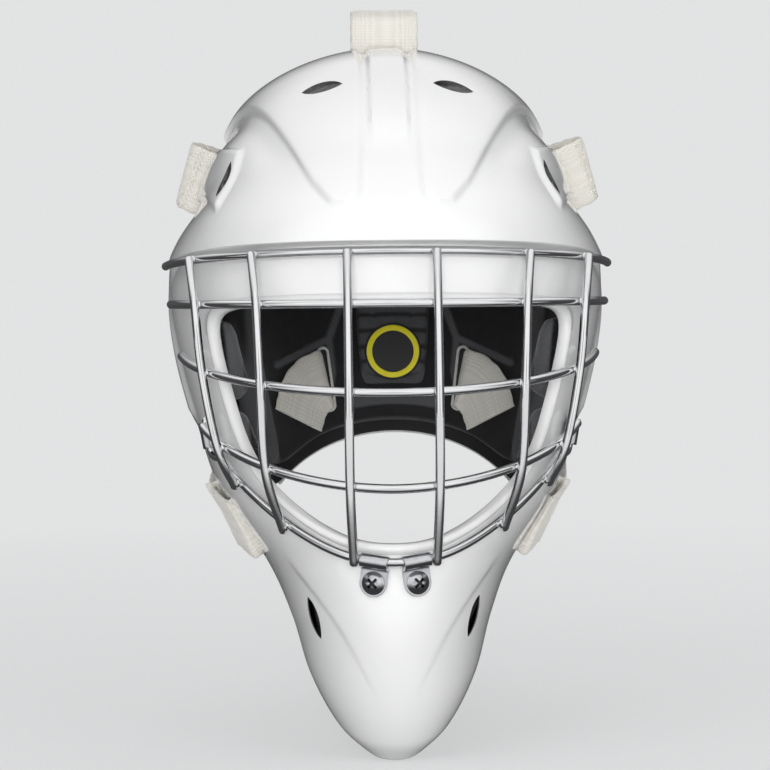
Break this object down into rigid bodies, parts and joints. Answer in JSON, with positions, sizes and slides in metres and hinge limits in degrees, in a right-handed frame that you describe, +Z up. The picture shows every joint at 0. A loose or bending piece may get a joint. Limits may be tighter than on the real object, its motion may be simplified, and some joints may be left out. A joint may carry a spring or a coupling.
{
  "type": "hockey goalie mask",
  "caption": "White hockey goalie mask with a steel wire cage, foam padding, a chin sling and a padded back plate on elastic straps.",
  "frame": {"origin": "middle of the wearer's head at eye level, inside the mask", "axes": "+Z up, -Y the way the mask looks, +X towards the wearer's left hand"},
  "size_m": [0.2304, 0.2639, 0.3684],
  "materials": {
    "shell": "clear-coated white laminate",
    "wire": "polished steel wire",
    "clip": "plated steel",
    "fastener": "plated steel",
    "foam": "matte knit-faced foam",
    "sweatband": "soft knit",
    "webbing": "woven",
    "chin_cup": "matte knit-faced foam",
    "backplate": "moulded, matte",
    "liner": "matte moulded foam",
    "panel": "ribbed knit",
    "badge": "soft moulded",
    "badge_ring": "printed",
    "elastic": "knitted elastic"
  },
  "bodies": {
    "mask": {"shell": "shell", "cage_top_wire": "wire", "cage_brow_wire": "wire", "cage_eye_wire": "wire", "cage_mouth_wire": "wire", "cage_frame_wire": "wire", "cage_uprights": "wire", "chin_clips": "clip", "chin_clip_screws": "fastener", "chin_clip_nuts": "fastener", "side_clips": "clip", "side_clip_screws": "fastener", "side_clip_nuts": "fastener", "forehead_pad": "foam", "sweatband": "sweatband", "crown_pad": "foam", "temple_pad_left": "foam", "temple_pad_right": "foam", "cheek_pad_left": "foam", "cheek_pad_right": "foam", "jaw_pad_left": "foam", "jaw_pad_right": "foam", "chin_studs": "fastener", "top_strap": "elastic", "upper_strap_left": "elastic", "upper_strap_right": "elastic", "lower_strap_left": "elastic", "lower_strap_right": "elastic"},
    "back": {"backplate": "backplate", "backplate_liner": "liner", "backplate_centre_pad": "panel", "badge_disc": "badge", "badge_ring": "badge_ring"},
    "sling": {"chin_sockets": "fastener", "chin_straps": "webbing", "chin_cup": "chin_cup"}
  },
  "joints": [
    {"name": "backplate_swing", "type": "hinge", "parent": "mask", "child": "back", "pos_m": [0, 0.022, 0.176], "axis": [1, 0, 0], "range_deg": [0, 35], "stiffness_Nm_per_rad": 1.5, "deforming": ["top_strap", "upper_strap_left", "upper_strap_right", "lower_strap_left", "lower_strap_right"]},
    {"name": "chin_sling_swing", "type": "hinge", "parent": "mask", "child": "sling", "pos_m": [0, -0.06245, -0.07487], "axis": [1, 0, 0], "range_deg": [-12, 30]}
  ]
}
